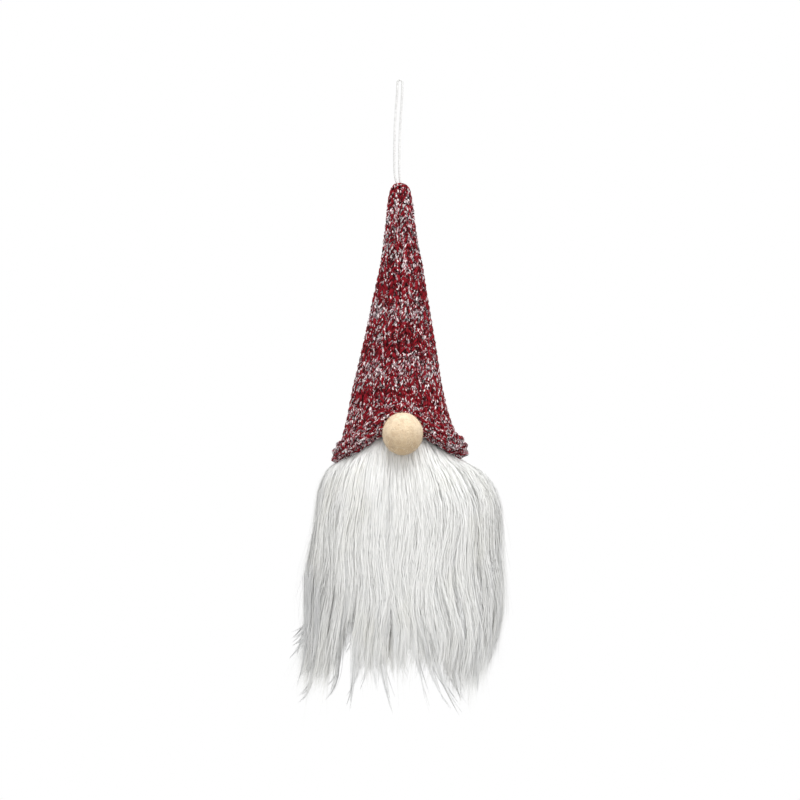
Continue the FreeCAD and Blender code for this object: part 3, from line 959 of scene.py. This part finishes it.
nap_count = 7000
nap_away = unit(numpy.random.default_rng(6).normal(0, 1, (nap_count, 3)))
nap_root = numpy.array(nose_middle) + nap_away * numpy.array((9.6, 9.5, 10.1)) * millimetre
nose_nap = nap_fibres(7, nap_root, nap_away, 0.6 * millimetre, 1.5 * millimetre, 0.09 * millimetre)
nap, place, surface = new_finish("cream_nap", roughness=0.9, specular=0.1)
nap_shade = place.noise(2.2 * millimetre, detail=3).between(0.4, 0.62)
feed(surface, "Base Color", nap_shade.blend((0.96, 0.84, 0.65, 1), (0.74, 0.56, 0.37, 1)))
new_piece("nose_nap", ribbons("nose_nap", *nose_nap), nap, "gnome", "nose_fleece")


# Stuffing. Loose fibre fills the hat and the head; the head's is held in a pouch of the fur's woven backing.
# The pouch is drawn together at its neck in deep pleats; the hat's fibre sits on it and stops under the knot.
def spun(name, outline, lumps, pleats=0):
    """A closed round body from its outline, pairs of how far from the axis and how high above the brim. lumps
    is how far it swells and sinks as a share of its radius, and pleats how many folds run up to its neck."""
    shape = bmesh.new()
    ring = [shape.verts.new((out * millimetre, 0, brim_low + up * millimetre)) for out, up in outline]
    for first, second in zip(ring, ring[1:]):
        shape.edges.new((first, second))
    outline_parts = shape.verts[:] + shape.edges[:]
    bmesh.ops.spin(shape, geom=outline_parts, axis=(0, 0, 1), angle=2 * math.pi, steps=96, use_merge=True)
    bmesh.ops.remove_doubles(shape, verts=shape.verts[:], dist=0.01 * millimetre)
    for vertex in shape.verts:
        x, y, z = vertex.co
        turn = math.atan2(y, x)
        above = (z - brim_low) / millimetre
        swell = 1 + lumps * math.sin(3 * turn + above / 7) * math.sin(above / 5 + 2 * math.sin(2 * turn))
        swell += 0.06 * max(0, min(1, above / 20)) * math.sin(pleats * turn)
        slouch = numpy.interp(hat_high.z - z, slouch_down, slouch_left)
        vertex.co = (x * swell - slouch, y * swell, z)
    bmesh.ops.recalc_face_normals(shape, faces=shape.faces[:])
    mesh = bpy.data.meshes.new(name)
    shape.to_mesh(mesh)
    shape.free()
    return mesh


def stuffing_finish(name, light, dark):
    finish, place, surface = new_finish(name, roughness=0.9, sheen=0.2, specular=0.2)
    feed(surface, "Base Color", place.noise(2 * millimetre, detail=4).between(0.35, 0.65).blend(light, dark))
    add_bump(surface, place.noise(0.8 * millimetre, detail=4), 0.8 * millimetre)
    return finish


hat_fibre = [(0, 117.5), (2.0, 117.5), (3.4, 115), (4.4, 110), (6.0, 101), (10.6, 77), (14.8, 53), (19.0, 33)]
hat_fibre += [(20.0, 27.5), (17.5, 26.5), (14.5, 28.0), (4.5, 30.5), (3.8, 32.5), (0, 33)]
# The hat's stuffing is painted a dark red: painted shade for the shadow seen in the gaps between the
# stitches, where the fibre itself would be white.
hat_stuffing = new_piece(
    "hat_stuffing",
    spun("hat_stuffing", hat_fibre, 0.02),
    stuffing_finish("fibre_painted_as_shadow", (0.1, 0.02, 0.025, 1), (0.05, 0.012, 0.015, 1)),
    "gnome",
    "fibre_filling",
    "hat_filling",
)

pouch_outside = [(3.0, 31), (3.0, 28), (7.5, 27.5), (14.0, 25.5), (19.5, 22.5), (22.2, 19), (23.6, 12)]
pouch_outside += [(26.5, 5), (28.6, -4), (27.9, -14), (23.8, -24), (18.8, -30), (13.0, -33), (6.0, -35.4)]
pouch_outside += [(0, -36)]
backing_thickness = 0.9
pouch_inside = [
    (max(out - backing_thickness, 0), min(up, 30) + backing_thickness * (up < -20))
    for out, up in pouch_outside
]
pouch_cloth = pouch_outside + pouch_inside[::-1] + pouch_outside[:1]
woven, place, surface = new_finish("woven_backing", roughness=0.85)
weave = place.stretched(1, 1, 0.5).noise(0.6 * millimetre)
feed(surface, "Base Color", weave.between(0.3, 0.7).blend((0.62, 0.61, 0.58, 1), (0.8, 0.79, 0.77, 1)))
add_bump(surface, weave, 0.2 * millimetre)
pouch_mesh = spun("pouch_cloth", pouch_cloth, 0, pleats=18)
new_piece("pouch_cloth", pouch_mesh, woven, "gnome", "fur_backing", "fur_backing")

head_fibre = [
    (max(out - 1.6, 0), up - 1.5 * (up > 15) + 1.5 * (up < -20))
    for out, up in pouch_outside[2:]
]
head_stuffing = new_piece(
    "head_stuffing",
    spun("head_stuffing", [(0, 25.5)] + head_fibre, 0.01),
    stuffing_finish("white_fibre", (0.8, 0.8, 0.78, 1), (0.68, 0.68, 0.66, 1)),
    "gnome",
    "fibre_filling",
    "head_filling",
)


# Inside. Threads and glue, which the hat, the pile and the fleece cover.
# Each keeps the shape it has in the frame and gets its own finish.
inner_finishes = {
    "hot_glue": ((0.75, 0.72, 0.62, 1), 0.35),
    "sewing_thread": ((0.2, 0.02, 0.04, 1), 0.6),
}
slots = {part["node"]: part["material_slot"] for part in frame["record"]["subparts"]}
inner_materials = {}
for name, (colour, roughness) in inner_finishes.items():
    finish, place, surface = new_finish("inner_" + name, roughness)
    grain = place.noise(1.5 * millimetre, detail=3)
    darker = tuple(0.7 * channel for channel in colour[:3]) + (1,)
    feed(surface, "Base Color", grain.between(0.3, 0.7).blend(darker, colour))
    add_bump(surface, grain, 0.2 * millimetre)
    inner_materials[name] = finish
for node, item in frame["nodes"].items():
    if slots[node] in inner_materials:
        for material_slot in item.material_slots:
            material_slot.material = inner_materials[slots[node]]
